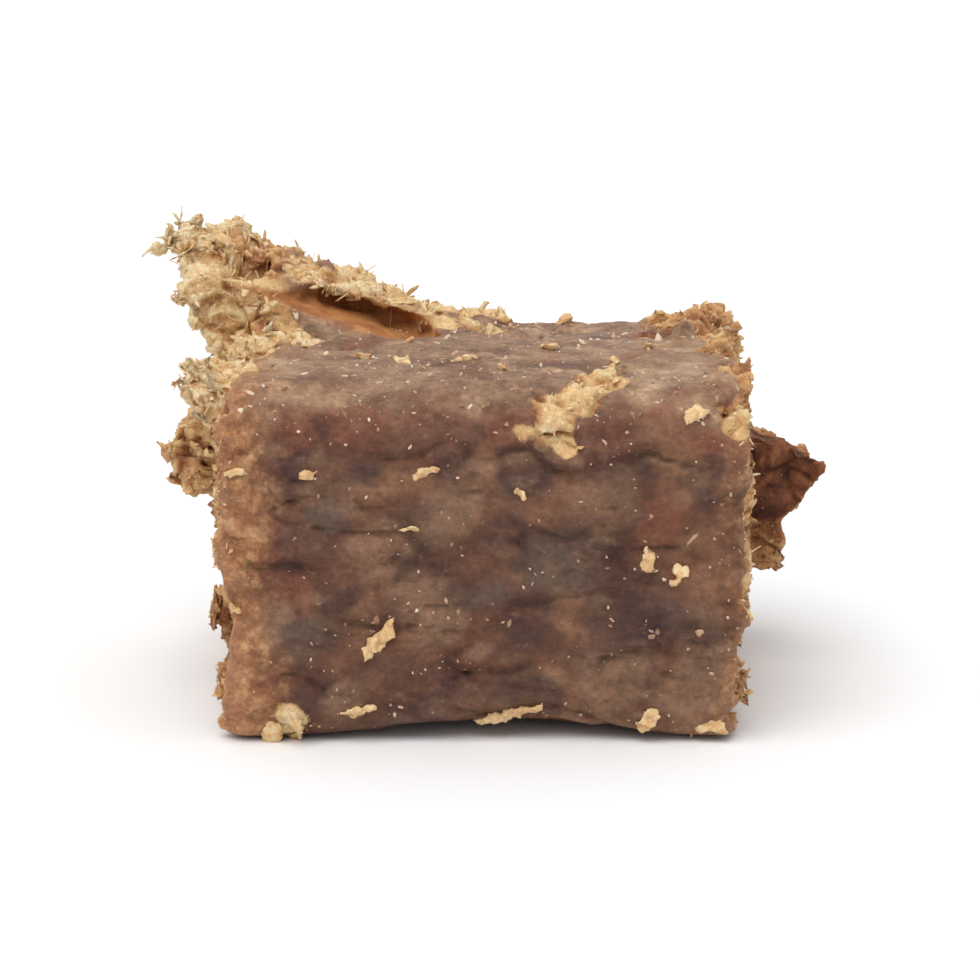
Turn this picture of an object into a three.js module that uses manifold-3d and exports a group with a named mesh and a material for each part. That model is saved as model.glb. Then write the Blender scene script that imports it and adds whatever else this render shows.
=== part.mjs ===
// A dried beef cube: one bite-sized block cut from a slab of pressed, dried minced beef.
// Millimetres, +Z up. The origin is the middle of the flat base, and the cut front face looks along -Y.
// The front and back were cut and the top and base pressed, so they are fairly smooth. The left and right
// ends were torn, so they are craggy, with crumbs and fibres that stand out.
import * as THREE from "three";
import { mergeVertices } from "three/addons/utils/BufferGeometryUtils.js";
import { ImprovedNoise } from "three/addons/math/ImprovedNoise.js";
import Module from "manifold-3d";

const { clamp, lerp, smoothstep } = THREE.MathUtils;

// Driving dimensions of the block. It flares a little towards its top.
const WIDTH = 15.0;
const DEPTH = 12.0;
const HEIGHT = 10.1;
const EDGE_RADIUS = 0.5;
const TOP_FLARE = 0.3;
const ARCH_RISE = 0.62;
const BACK_DIP = 0.8;
const FRONT_ROLL = 0.45;

// How deep the torn ends are broken up, and how much the cut faces wave.
const TEAR_DEPTH = 0.8;
const CUT_WAVE = 0.12;

// How many crumbs, pits and short fibres each torn end has, and how many fibres the flap's tip has.
const END_CRUMBS = 25;
const END_PITS = 8;
const END_FIBRES = 9;
const TUFT_FIBRES = 9;

// The flap: a peeled layer at the back left that rises from the top to a torn tip past the left end.
const FLAP = {
  right: 1.8,
  left: -7.6,
  overhang: 1.7,
  foot: 8.3,
  low: 9.6,
  top: 12.6,
  slope: 1.3,
  front: 2.1,
  back: 5.7,
};

// The slit under the flap's front lip.
const SLIT = { x: -3.5, y: 2.7, z: 10.2, length: 6.2, reach: 1.9, gap: 0.56, tilt: 0.28 };

// The flake that stands out of the right end.
const FLAKE = { root: 6.4, reach: 9.9, front: 1.7, back: 4.6, low: 1.6, high: 6.9 };

// Places where an edge is chipped: a middle, and the half-lengths of what is missing.
const CHIPS = [
  { at: [2.3, -6.2, 10.1], size: [1.2, 0.9, 0.8] },
  { at: [7.5, 5.7, 8.6], size: [0.8, 0.9, 1.4] },
  { at: [-2.6, 6.3, 0.9], size: [1.9, 0.6, 0.7] },
  { at: [3.6, 6.2, 6.4], size: [1.0, 0.45, 0.6] },
  { at: [-7.5, -5.9, 2.6], size: [0.45, 0.4, 1.2] },
];

// Heaps of crumbs: a middle, how far they spread from it, how many there are, and their radius.
const HEAPS = [
  { at: [-8.2, 4.1, 11.7], spread: [0.75, 1.1, 0.8], count: 14, radius: 0.5 },
  { at: [-7.7, -2.4, 9.3], spread: [0.45, 1.5, 0.5], count: 9, radius: 0.6 },
  { at: [-8.3, 0.1, 6.7], spread: [0.7, 0.8, 0.75], count: 9, radius: 0.58 },
  { at: [6.3, 3.8, 9.5], spread: [1.1, 1.5, 0.25], count: 7, radius: 0.48 },
  { at: [8.5, 3.1, 3.4], spread: [0.4, 1.0, 0.8], count: 4, radius: 0.5 },
  { at: [2.4, -5.3, 9.75], spread: [1.0, 0.45, 0.35], count: 6, radius: 0.36 },
  { at: [-5.2, -6.05, 0.85], spread: [0.55, 0.15, 0.2], count: 3, radius: 0.42 },
];

const MATERIAL = new THREE.MeshStandardMaterial({ color: 0x74543f, roughness: 0.55, metalness: 0 });

const wasm = await Module();
wasm.setup();
const perlin = new ImprovedNoise();

// A repeatable stream of numbers from 0 to 1.
function seededRandom(seed) {
  let state = seed;
  return () => {
    state = (state + 0x6d2b79f5) | 0;
    let mixed = Math.imul(state ^ (state >>> 15), 1 | state);
    mixed = (mixed + Math.imul(mixed ^ (mixed >>> 7), 61 | mixed)) ^ mixed;
    return ((mixed ^ (mixed >>> 14)) >>> 0) / 4294967296;
  };
}

const random = seededRandom(47);
const between = (low, high) => low + (high - low) * random();

// Smooth noise from about -1 to 1, with features about `size` mm across. Each `layer` is a different noise.
function noise(x, y, z, size, layer = 0) {
  return 1.4 * perlin.noise(x / size + layer, y / size + 2 * layer, z / size + 3 * layer);
}

// A closed three.js geometry as a manifold-3d solid.
function solid(geometry) {
  geometry.deleteAttribute("normal");
  geometry.deleteAttribute("uv");
  const merged = mergeVertices(geometry, 1e-4);
  return new wasm.Manifold(
    new wasm.Mesh({
      numProp: 3,
      vertProperties: new Float32Array(merged.attributes.position.array),
      triVerts: new Uint32Array(merged.index.array),
    }),
  );
}

// Moves every vertex of a geometry to where `place` puts it.
function reshape(geometry, place) {
  const points = geometry.attributes.position;
  const p = new THREE.Vector3();
  for (let i = 0; i < points.count; i++) {
    place(p.fromBufferAttribute(points, i));
    points.setXYZ(i, p.x, p.y, p.z);
  }
  return geometry;
}

// How far the block's flare moves a point sideways: more at the right end than at the left.
function flare(x, z) {
  return TOP_FLARE * (0.3 + (1.4 * x) / WIDTH) * (z / HEIGHT);
}

// The height of the pressed top: rolled over at the front edge, and sagging to the back.
function topHeight(x, y) {
  const back = smoothstep(y, -DEPTH * 0.2, DEPTH * 0.5);
  const middle = 1 - Math.abs(x - 1.6) / (WIDTH / 2);
  const roll = FRONT_ROLL * smoothstep(-y, DEPTH * 0.4, DEPTH * 0.5);
  return HEIGHT - BACK_DIP * back * middle - roll + noise(x, y, 0, 3.2, 7) * CUT_WAVE * 1.2;
}

// The height of the base: flat, but arched along the front edge.
function baseHeight(x, y) {
  const along = Math.cos(clamp((x - 0.4) / (WIDTH * 0.43), -1, 1) * (Math.PI / 2));
  return ARCH_RISE * along * along * smoothstep(-y, DEPTH * 0.28, DEPTH * 0.5);
}

// Crags of a torn end, positive outwards, at a place on that end. The knife-cut edges hold their line.
function tear(end, y, z) {
  const broad = noise(end * 5, y, z, 2.8, 1);
  const ridges = 0.45 - Math.abs(noise(end * 9, y, z, 1.8, 2)) * 1.7;
  const fine = noise(end * 13, y, z, 0.95, 3);
  const held = 0.25 + 0.75 * smoothstep(DEPTH / 2 - Math.abs(y), 0.2, 1.8);
  return TEAR_DEPTH * held * (0.7 * broad + 0.7 * ridges + 0.45 * fine - 0.4);
}

// The block: a box whose edges are rounded, whose ends are torn and whose cut faces wave.
function block() {
  const inner = new THREE.Vector3();
  const place = (p) => {
    p.z += HEIGHT / 2;
    const share = p.z / HEIGHT;
    inner.set(
      clamp(p.x, EDGE_RADIUS - WIDTH / 2, WIDTH / 2 - EDGE_RADIUS),
      clamp(p.y, EDGE_RADIUS - DEPTH / 2, DEPTH / 2 - EDGE_RADIUS),
      clamp(p.z, EDGE_RADIUS, HEIGHT - EDGE_RADIUS),
    );
    p.sub(inner).setLength(EDGE_RADIUS).add(inner);
    const end = Math.sign(p.x);
    const toEnd = smoothstep(Math.abs(p.x), WIDTH * 0.43, WIDTH * 0.5);
    const toCut = smoothstep(Math.abs(p.y), DEPTH * 0.42, DEPTH * 0.5);
    const z = lerp(baseHeight(p.x, p.y), topHeight(p.x, p.y), share) + (p.z - share * HEIGHT);
    // The grain runs along the width, so the waves of the cut faces are stretched that way.
    const streaks = noise(p.x * 0.35, p.y, p.z, 1.1, 4) + noise(p.x * 0.5, p.y, p.z, 3.1, 5);
    p.x += end * toEnd * tear(end, p.y, z) + flare(p.x, p.z);
    p.y += Math.sign(p.y) * toCut * CUT_WAVE * streaks;
    p.z = z;
    // The torn surface is jittered sideways too, except near the flat base.
    const loose = toEnd * smoothstep(z, 0.6, 1.6);
    p.y += loose * noise(p.x, p.y, z, 1.3, 8) * 0.25;
    p.z += loose * noise(p.x, p.y, z, 1.2, 9) * 0.28;
  };
  return solid(reshape(new THREE.BoxGeometry(WIDTH, DEPTH, HEIGHT, 22, 18, 16), place));
}

// The crest of the flap over the width: low where it joins the top, high at the torn left tip.
function crestHeight(x) {
  const rise = (FLAP.right - x) / (FLAP.right - FLAP.left + FLAP.overhang * 0.6);
  return lerp(FLAP.low, FLAP.top, smoothstep(rise, 0.15, 0.98)) + noise(x, 0, 0, 1.1, 11) * 0.2;
}

// The flap: a layer whose top slopes up to the back and whose ragged left tip leans past the block's end.
function flap() {
  const place = (p) => {
    const along = p.x + 0.5;
    const deep = p.y + 0.5;
    const up = p.z + 0.5;
    const x = lerp(FLAP.left - FLAP.overhang * up, FLAP.right, along);
    const y = lerp(FLAP.front + 0.9 * along + 0.3 * up, FLAP.back - 0.2 * up, deep);
    const drop = FLAP.slope * (1 - deep) * (1 - along);
    const z = lerp(FLAP.foot, crestHeight(x) - drop, up);
    const ragged = 0.16 + 0.34 * (1 - along);
    p.x = x + noise(x, y, z, 1.2, 12) * ragged;
    p.y = y + noise(x, y, z, 1.3, 13) * ragged * 0.8;
    p.z = z + noise(x, y, z, 1.0, 14) * ragged * 0.7 * up;
  };
  return solid(reshape(new THREE.BoxGeometry(1, 1, 1, 16, 7, 5), place));
}

// The slit: a flattened, tilted ball that is cut from under the flap's lip.
function slit() {
  const middle = new THREE.Vector3(SLIT.x, SLIT.y, SLIT.z);
  const place = (p) => {
    p.set((p.x * SLIT.length) / 2, p.y * SLIT.reach, (p.z * SLIT.gap) / 2);
    p.z += noise(p.x, p.y, 0, 1.4, 15) * 0.14;
    p.applyAxisAngle(new THREE.Vector3(0, 1, 0), SLIT.tilt).add(middle);
  };
  return solid(reshape(new THREE.SphereGeometry(1, 14, 8), place));
}

// The right flake: a wedge that is widest near its top and tapers to nothing below.
function flake() {
  const place = (p) => {
    const out = p.x + 0.5;
    const up = p.z + 0.5;
    const wide = smoothstep(up, 0, 0.8) - 0.35 * smoothstep(up, 0.8, 1);
    const x = lerp(FLAKE.root, lerp(7.6, FLAKE.reach, wide), out);
    const y = lerp(FLAKE.front + 0.5 * out, FLAKE.back - 0.9 * out, p.y + 0.5);
    const z = lerp(FLAKE.low + 0.8 * out, FLAKE.high - 0.3 * out, up);
    p.x = x + noise(x, y, z, 1.0, 16) * 0.35 * out;
    p.y = y + noise(x, y, z, 0.9, 17) * 0.4;
    p.z = z + noise(x, y, z, 0.8, 18) * 0.4;
  };
  return solid(reshape(new THREE.BoxGeometry(1, 1, 1, 5, 5, 9), place));
}

// An uneven 20-sided lump, turned at random about its middle.
function lump(middle, halfSizes) {
  const turn = new THREE.Euler(between(-0.5, 0.5), between(-0.5, 0.5), between(-0.5, 0.5));
  const layer = between(0, 50);
  const place = (p) => {
    p.multiplyScalar(1 + noise(p.x, p.y, p.z, 0.9, layer) * 0.45);
    p.multiply(halfSizes).applyEuler(turn).add(middle);
  };
  return solid(reshape(new THREE.IcosahedronGeometry(1, 0), place));
}

// A crumb is a lump of about one radius.
function crumb(middle, radius) {
  const stretch = new THREE.Vector3(between(0.75, 1.3), between(0.75, 1.25), between(0.65, 1.1));
  return lump(middle, stretch.multiplyScalar(radius));
}

// A fibre: a thin, slightly bent cone that points along `way` from its root.
function fibre(root, way, length, radius) {
  const aim = new THREE.Quaternion().setFromUnitVectors(
    new THREE.Vector3(0, 1, 0),
    way.clone().normalize(),
  );
  const bend = new THREE.Vector3(between(-0.25, 0.25), 0, between(-0.25, 0.25));
  const place = (p) => {
    const along = clamp(p.y / length + 0.5, 0, 1);
    p.y += length / 2;
    p.addScaledVector(bend, along * along * length).applyQuaternion(aim).add(root);
  };
  return solid(reshape(new THREE.ConeGeometry(radius, length, 5, 2), place));
}

// A random place on a torn end, `sunk` mm below its surface, at least `lift` mm above the floor and at
// least `margin` mm from the cut faces.
function onEnd(end, sunk, lift, margin = 0.6) {
  const y = between(margin - DEPTH / 2, DEPTH / 2 - margin);
  const z = between(lift, HEIGHT - 0.7);
  const x = end * (WIDTH / 2 + tear(end, y, z) - sunk);
  return new THREE.Vector3(x + flare(x, z), y, z);
}

// Crumbs all over a torn end, larger ones first.
function endCrumbs(end, count) {
  return Array.from({ length: count }, (_, i) => {
    const radius = lerp(0.9, 0.4, i / count) * between(0.85, 1.15);
    return crumb(onEnd(end, radius * 0.35, radius * 1.4 + 0.1), radius);
  });
}

// Pits that are broken out of a torn end.
function endPits(end, count) {
  return Array.from({ length: count }, () => {
    const halfSizes = new THREE.Vector3(between(0.6, 1.0), between(0.45, 1.1), between(0.4, 0.75));
    return lump(onEnd(end, 0.1, 1.6, 1.7), halfSizes);
  });
}

// A heap of crumbs inside an ellipsoid around a larger one, such as the tuft at the flap's tip.
function heap({ at, spread, count, radius }) {
  const core = crumb(new THREE.Vector3(...at), radius * 1.35);
  const others = Array.from({ length: count - 1 }, () => {
    const middle = new THREE.Vector3(between(-1, 1), between(-1, 1), between(-1, 1));
    middle.multiply(new THREE.Vector3(...spread)).add(new THREE.Vector3(...at));
    return crumb(middle, radius * between(0.7, 1.3));
  });
  return [core, ...others];
}

// Fibres that stand up from the crest at the flap's torn tip.
function tuftFibres(count) {
  return Array.from({ length: count }, (_, i) => {
    const x = lerp(-9.0, -6.2, i / (count - 1));
    const root = new THREE.Vector3(x, between(3.2, 5.2), crestHeight(x) - 0.6);
    const way = new THREE.Vector3(between(-0.5, 0.15), between(-0.3, 0.2), 1);
    return fibre(root, way, between(0.95, 1.6), between(0.17, 0.26));
  });
}

// Short fibres that stand out of a torn end.
function endFibres(end, count) {
  return Array.from({ length: count }, () => {
    const way = new THREE.Vector3(end, between(-0.7, 0.7), between(-0.5, 0.7));
    return fibre(onEnd(end, 0.35, 1.2), way, between(0.9, 1.4), between(0.15, 0.22));
  });
}

// The whole cube: the block, flap and flake, less the slit, pits and chips, plus the crumbs and fibres.
function beefCube() {
  const chips = CHIPS.map(({ at, size }) => lump(new THREE.Vector3(...at), new THREE.Vector3(...size)));
  const pits = [...endPits(-1, END_PITS), ...endPits(1, END_PITS)];
  const cuts = wasm.Manifold.union([slit(), ...chips, ...pits]);
  const body = block().add(flap()).add(flake()).subtract(cuts);
  const joined = wasm.Manifold.union([
    body,
    ...endCrumbs(-1, END_CRUMBS),
    ...endCrumbs(1, END_CRUMBS),
    ...HEAPS.flatMap(heap),
    ...tuftFibres(TUFT_FIBRES),
    ...endFibres(-1, END_FIBRES),
    ...endFibres(1, END_FIBRES),
  ]);
  const [largest] = joined.decompose().sort((a, b) => b.volume() - a.volume());
  const { vertProperties, triVerts } = largest.getMesh();
  const geometry = new THREE.BufferGeometry();
  geometry.setAttribute("position", new THREE.BufferAttribute(vertProperties, 3));
  geometry.setIndex(new THREE.BufferAttribute(triVerts, 1));
  geometry.computeVertexNormals();
  return geometry;
}

const cube = new THREE.Mesh(beefCube(), MATERIAL);
cube.name = "beef_cube";

const part = new THREE.Group();
part.add(cube);
export default part;
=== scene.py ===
# A dried beef cube as the photograph shows it: moist cut faces, flaky torn ends and a peeled flap.
# The CAD solid gives the form. This script rebuilds its skin finely, breaks it up where it was torn,
# and adds the crumbs, shreds, flakes and specks that are too small for the solid.
# Shapes are worked out in millimetres, and the pieces are scaled to metres.
import itertools
import math

import bmesh
import bpy
import numpy as np
from mathutils import Matrix, Vector
from mathutils.bvhtree import BVHTree
from mathutils.kdtree import KDTree


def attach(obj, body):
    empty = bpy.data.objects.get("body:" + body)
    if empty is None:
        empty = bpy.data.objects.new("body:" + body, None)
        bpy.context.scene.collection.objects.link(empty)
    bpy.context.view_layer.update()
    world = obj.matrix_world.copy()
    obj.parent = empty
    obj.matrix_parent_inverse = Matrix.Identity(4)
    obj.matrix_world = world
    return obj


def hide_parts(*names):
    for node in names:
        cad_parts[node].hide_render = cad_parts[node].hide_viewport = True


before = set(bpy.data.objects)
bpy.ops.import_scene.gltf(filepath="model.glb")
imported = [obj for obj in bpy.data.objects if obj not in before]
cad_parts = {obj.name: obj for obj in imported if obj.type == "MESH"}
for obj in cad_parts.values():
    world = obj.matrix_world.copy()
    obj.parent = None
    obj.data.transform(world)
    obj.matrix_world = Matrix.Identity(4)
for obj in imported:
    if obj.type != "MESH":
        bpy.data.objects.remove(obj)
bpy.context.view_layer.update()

MM = 0.001
NODE = "beef_cube"

# The block inside the CAD solid: half its width and depth.
HALF_WIDTH = 7.5
HALF_DEPTH = 6.0

# The skin is rebuilt coarsely and smoothed, in fewer rounds where it is torn. Then it is rebuilt with its
# chunks joined on, and split finer where it is torn. At the end KEPT_SHARE of its triangles are kept.
COARSE_VOXEL = 0.16
SKIN_VOXEL = 0.15
FLAKE_VOXEL = 0.05
TORN_ROUNDS = 2
SMOOTH_ROUNDS = 9
KEPT_SHARE = 0.63

# How far the torn skin is set back, to make room for what lies on it, and how much more at the torn ends.
TORN_SETBACK = 0.14
END_SETBACK = 0.16

# Depths of the relief on cut faces, torn ones, the lip and the slit. A pair is for coarse and fine relief.
SWELL_DEPTH = 0.10
GRAIN_DEPTHS = (0.06, 0.03)
CREASE_DEPTH = 0.13
FRONT_CREASE_DEPTH = 0.16
DENT_DEPTH = 0.10
CRAG_DEPTH = 0.24
CREVICE_DEPTHS = (0.27, 0.09)
LAYER_DEPTH = 0.12
ROUGH_DEPTHS = (0.08, 0.045)
LIP_RAISED = 0.12
SLIT_DEPTH = 0.12

# What counts as height for the materials: the rounds that the skin is smoothed by, and how far from the
# smoothed skin counts in full.
SMALL_HEIGHT = (12, 0.14)
WIDE_HEIGHT = (60, 0.40)

# The slit under the flap: its middle, half-lengths and tilt, as in the CAD solid. Then how far it is dug
# further in, raised at its roof and lowered at its floor.
SLIT_MIDDLE = np.array([-3.5, 2.7, 10.2])
SLIT_HALF = np.array([3.1, 1.9, 0.28])
SLIT_TILT = 0.28
SLIT_DUG = (0.6, 0.05, 0.08)

# Places along the lower edge of the lip over the slit, which is less crumbly, given as for TORN_SPOTS.
LIP_SPOTS = (
    (-3.3, 3.6, 10.45, 0.40, 0.10),
    (-2.8, 3.6, 10.28, 0.42, 0.12),
    (-2.3, 3.6, 10.08, 0.42, 0.14),
    (-1.8, 3.6, 9.88, 0.42, 0.16),
    (-1.3, 3.6, 9.68, 0.40, 0.18),
    (-0.9, 3.6, 9.52, 0.38, 0.20),
)

# Broken places besides the torn ends: x, y, z, radius, and how much paler, or darker if negative, they are
# than broken meat elsewhere. Later ones lie over earlier ones. The first is the flap's tip.
TORN_SPOTS = (
    (-8.6, 4.1, 11.6, 2.5, 0.40),
    (-7.1, 2.2, 10.2, 1.9, 0.38),
    (-6.0, 1.1, 10.1, 1.5, 0.40),
    (-6.9, -0.8, 10.1, 1.1, 0.28),
    (-7.1, -3.0, 10.0, 0.9, 0.20),
    (-8.0, -2.4, 9.4, 1.8, 0.36),
    (-8.3, -0.3, 6.9, 1.7, 0.14),
    (3.2, -4.3, 10.1, 0.8, 0.36),
    (2.7, -5.5, 9.9, 0.6, 0.36),
    (1.8, -6.0, 9.2, 0.75, 0.36),
    (2.3, -6.1, 8.5, 0.35, 0.36),
    (-5.2, -6.0, 0.7, 0.6, 0.36),
    (6.3, 4.0, 9.8, 1.6, 0.05),
    (6.5, 1.9, 10.0, 1.1, 0.12),
    (6.9, -0.5, 10.0, 0.9, 0.24),
    (7.0, -2.9, 9.8, 0.6, 0.24),
    (7.1, -5.6, 9.3, 0.5, 0.26),
    (5.1, 2.3, 10.0, 0.7, -0.18),
    (8.7, 2.5, 3.0, 1.7, -0.06),
    # The right flake's upper plate: dark red-brown moist meat, with painted shadow on it as if cast by cubes
    # lying beside it.
    (8.1, 1.4, 4.9, 0.8, -0.36),
    (8.1, 1.5, 5.7, 0.8, -0.36),
    (8.1, 1.6, 6.6, 0.8, -0.36),
    (8.9, 1.9, 5.2, 0.9, -0.36),
    (8.9, 2.0, 6.3, 0.9, -0.36),
    (9.7, 2.1, 5.9, 0.9, -0.32),
    (7.5, 5.7, 8.6, 1.2, -0.25),
    (-2.6, 6.1, 0.9, 1.5, -0.25),
    (3.8, 6.1, 6.5, 0.9, 0.00),
    (2.9, 6.1, 5.8, 0.5, -0.05),
    (-0.3, 3.6, 9.60, 0.45, 0.34),
    (0.4, 3.7, 9.60, 0.40, 0.36),
    (-6.3, 2.4, 9.95, 0.45, -0.11),
    (-7.0, 4.1, 12.3, 0.60, 0.04),
    (-6.5, 4.2, 11.6, 0.35, -0.03),
    (-7.3, 3.9, 11.4, 0.50, 0.10),
    *LIP_SPOTS,
)

# Where torn pieces stand out beyond the ends, as x, y, z and radius. Elsewhere the ends keep close behind the
# cut faces' edges.
PROUD_SPOTS = (
    (-8.6, 4.1, 11.8, 3.2),
    (-8.2, -2.6, 9.4, 2.3),
    (-8.6, -0.3, 6.6, 2.9),
    (9.2, 3.1, 6.0, 3.2),
    (8.7, 3.3, 3.4, 2.9),
)

# The larger lumps of the left end, as x, y, z and radius. The last three are the chip above the others.
LUMPS = (
    (-8.20, -0.4, 7.00, 0.85),
    (-8.75, -0.5, 7.10, 0.50),
    (-8.15, -0.3, 7.75, 0.45),
    (-8.30, -0.5, 6.20, 0.50),
    (-8.00, -3.0, 10.10, 0.50),
    (-8.05, -3.1, 9.50, 0.50),
    (-7.80, -3.2, 8.80, 0.45),
)

# The right flake's two plates, and the lip that hangs from the flap over the slit's right half: where each
# plate starts and ends in depth, how much shorter it is behind, and its outline as x and z.
PLATES = (
    (1.5, 3.6, 0.50, (
        (6.8, 4.3), (8.4, 4.2), (9.1, 4.7), (9.6, 5.3), (10.1, 6.1), (9.1, 6.6), (7.9, 7.0), (6.8, 7.1),
    )),
    (2.3, 4.2, 0.35, ((6.8, 2.3), (8.0, 2.5), (8.9, 2.7), (9.0, 3.7), (8.5, 4.5), (6.8, 4.6))),
    (3.6, 5.0, 0.00, (
        (-4.8, 10.76), (-3.8, 10.50), (-3.0, 10.25), (-2.2, 9.95), (-1.4, 9.58), (-0.6, 9.38), (0.5, 9.40),
        (0.2, 9.80), (-1.2, 10.00), (-2.4, 10.40), (-3.6, 10.75), (-4.8, 11.05),
    )),
)

# Creases on the front face, as x and z of their two ends.
FRONT_CREASES = (
    (-3.6, 8.30, -0.8, 8.50),
    (-0.8, 8.50, 2.4, 8.10),
    (3.0, 2.20, 5.0, 2.80),
    (5.0, 2.80, 7.3, 3.30),
    (-6.8, 5.40, -4.4, 5.00),
    (-4.3, 3.60, -1.7, 3.30),
    (0.6, 5.90, 3.4, 6.20),
    (-1.2, 1.80, 1.4, 2.30),
    (3.6, 8.30, 6.0, 8.10),
)

# Patches of other meat on the front face, as x, z and radius. The other faces have patches by noise alone.
FRONT_PATCHES = {
    "red": (
        (-5.4, 9.2, 0.9), (-3.4, 9.0, 1.0), (-1.4, 9.3, 1.1), (0.7, 9.2, 0.9), (3.4, 9.1, 1.1),
        (5.4, 9.4, 0.9), (6.6, 8.6, 0.8), (4.9, 6.5, 0.8), (-5.3, 4.4, 0.8), (-6.2, 2.0, 1.0),
        (-6.4, 6.0, 0.9),
    ),
    "tan": (
        (-2.9, 5.5, 0.95), (-0.9, 6.7, 1.0), (-1.4, 3.9, 1.1), (3.4, 7.0, 0.9), (3.7, 2.0, 1.2),
        (6.3, 1.4, 1.4), (-6.5, 9.7, 0.9), (-4.8, 7.7, 0.6), (-6.4, 3.2, 1.0), (-3.9, 1.3, 0.6),
    ),
    "grey": ((2.1, 5.2, 1.2), (0.2, 4.3, 0.7), (-5.0, 3.1, 0.7), (-4.2, 6.6, 0.6)),
    "dark": (
        (4.4, 8.0, 0.4), (4.0, 3.7, 1.2), (-5.2, 7.8, 0.5), (1.2, 7.8, 0.9), (0.9, 5.8, 0.8),
        (1.3, 3.4, 1.0), (1.2, 1.4, 1.0), (-1.4, 1.2, 0.7), (-0.8, 8.1, 0.7), (-3.4, 7.7, 0.6),
        (-3.9, 4.1, 0.5), (6.3, 7.6, 0.7),
    ),
}

# Chips and flakes that lie on the front face: x, z, length, width, turn in radians, and how pale each is.
FRONT_FLAKES = (
    (-2.9, 3.00, 1.15, 0.42, 0.7, 0.75),
    (-2.0, 6.20, 0.45, 0.16, 0.1, 0.90),
    (1.05, 7.30, 0.40, 0.18, -1.0, 0.60),
    (4.55, 5.25, 0.62, 0.36, 1.3, 0.80),
    (5.50, 4.95, 0.60, 0.36, 0.5, 1.00),
    (5.90, 9.50, 0.65, 0.36, 0.1, 0.85),
    (0.70, 0.80, 1.50, 0.34, 0.3, 0.75),
    (4.60, 0.70, 0.90, 0.42, 0.9, 0.80),
    (6.50, 0.50, 1.00, 0.30, -0.1, 0.65),
    (-5.2, 0.45, 1.60, 0.50, 0.6, 0.85),
    (-5.9, 0.30, 0.90, 0.60, 1.0, 0.90),
    (-3.5, 0.95, 0.80, 0.24, 0.2, 0.85),
    (-6.8, 7.85, 0.70, 0.22, 0.1, 0.80),
    (-4.9, 7.75, 0.55, 0.20, 0.2, 0.60),
    (-1.6, 7.85, 0.70, 0.18, 0.3, 0.65),
    (-6.9, 3.90, 0.45, 0.20, -0.5, 0.80),
)

# How many more flakes lie elsewhere at random, how many plates a flake has, and half a plate's thickness.
OTHER_FLAKES = 26
FLAKE_PLATES = 4
PLATE_HALF = 0.065

# Layers of crumbs: how many, their radius, the share of it that is sunk, how finely their ball is split, and
# how thick they are. The first three are joined to the skin, and the others lie on it.
LARGE_CRUMBS = (480, 0.40, 0.40)
MEDIUM_CRUMBS = (420, 0.22, 0.40)
SCATTERED_CRUMBS = (160, 0.17, 0.45)
LOOSE_CRUMBS = ((600, 0.10, 0.4, 2, 0.7), (2700, 0.10, 0.3, 1, 0.4), (4800, 0.06, 0.25, 1, 1.0))
# The specks stand in partly for glints: painted highlights as well as pale bits.
SMALL_SPECKS = (1400, 0.052, 0.4, 1)
LARGE_SPECKS = (230, 0.095, 0.5, 2)

# Layers of shreds: where they grow, how many, their length and width, and how far they stand up.
SHRED_LAYERS = (
    ("rough", 420, 0.24, 0.080, 0.15),
    ("pale", 240, 0.24, 0.100, 0.15),
    ("tip", 40, 0.30, 0.120, 0.30),
    ("crest", 24, 0.40, 0.130, 1.40),
    ("lip", 90, 0.22, 0.080, 0.25),
    ("ridge", 24, 0.27, 0.120, 0.90),
    ("rim", 260, 0.13, 0.045, 0.30),
    ("clean top", 40, 0.16, 0.035, 0.10),
    ("tip", 150, 0.32, 0.034, 0.90),
    ("lip", 130, 0.26, 0.032, 0.80),
)

# Colours of the meat, as linear red, green and blue. Stops run from the darkest tone at 0 to the palest at 1.
CUT_STOPS = (
    (0.34, (0.065, 0.028, 0.020)),
    (0.45, (0.120, 0.049, 0.030)),
    (0.56, (0.190, 0.083, 0.046)),
    (0.68, (0.310, 0.155, 0.083)),
)
TOP_STOPS = (
    (0.32, (0.160, 0.084, 0.050)),
    (0.48, (0.320, 0.185, 0.110)),
    (0.62, (0.480, 0.300, 0.180)),
    (0.76, (0.680, 0.480, 0.300)),
)
TORN_STOPS = (
    (0.08, (0.085, 0.027, 0.013)),
    (0.26, (0.250, 0.088, 0.036)),
    (0.42, (0.460, 0.208, 0.088)),
    (0.60, (0.680, 0.390, 0.172)),
    (0.80, (0.850, 0.568, 0.285)),
    (0.97, (0.920, 0.700, 0.420)),
)
# Specks are pale bits on the meat and also stand in for glints on its moist faces, so they are partly painted
# highlights.
SPECK_AND_GLINT_STOPS = (
    (0.10, (0.340, 0.180, 0.110)),
    (0.60, (0.680, 0.440, 0.290)),
    (0.95, (0.920, 0.740, 0.540)),
)
# The slit's inside: orange meat, made paler than it is so that, in the slit's shade, it shows the light
# coming through the thin flap. This is partly painted light.
SLIT_STOPS = (
    (0.35, (0.380, 0.125, 0.036)),
    (0.65, (0.640, 0.290, 0.100)),
)
PATCH_COLOURS = {
    "red": (0.250, 0.086, 0.048),
    "tan": (0.320, 0.178, 0.104),
    "grey": (0.145, 0.094, 0.068),
    "dark": (0.068, 0.032, 0.027),
}
RIM_STOPS = (
    (0.32, (0.250, 0.090, 0.038)),
    (0.50, (0.460, 0.205, 0.085)),
    (0.66, (0.680, 0.400, 0.200)),
)
# Painted shade for creases and other low places of the cut faces.
PAINTED_HOLLOW_SHADE = (0.040, 0.017, 0.012)
TAN_BIT = (0.340, 0.195, 0.120)
DARK_BIT = (0.055, 0.022, 0.018)

# Numbers that scramble a cell and a seed, and how far apart the copies of a shape lie in the noise.
CELL_FACTORS = (73856093, 19349663, 83492791)
SEED_FACTOR = 40503
SCRAMBLES = ((15, 2246822519), (13, 3266489917))
WORD = 0xFFFFFFFF
COPY_STEP = 17.3

rng = np.random.default_rng(seed=7)


# Noise. The last number given to noise, swirl or grains is a seed, and tells their patterns apart.

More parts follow.
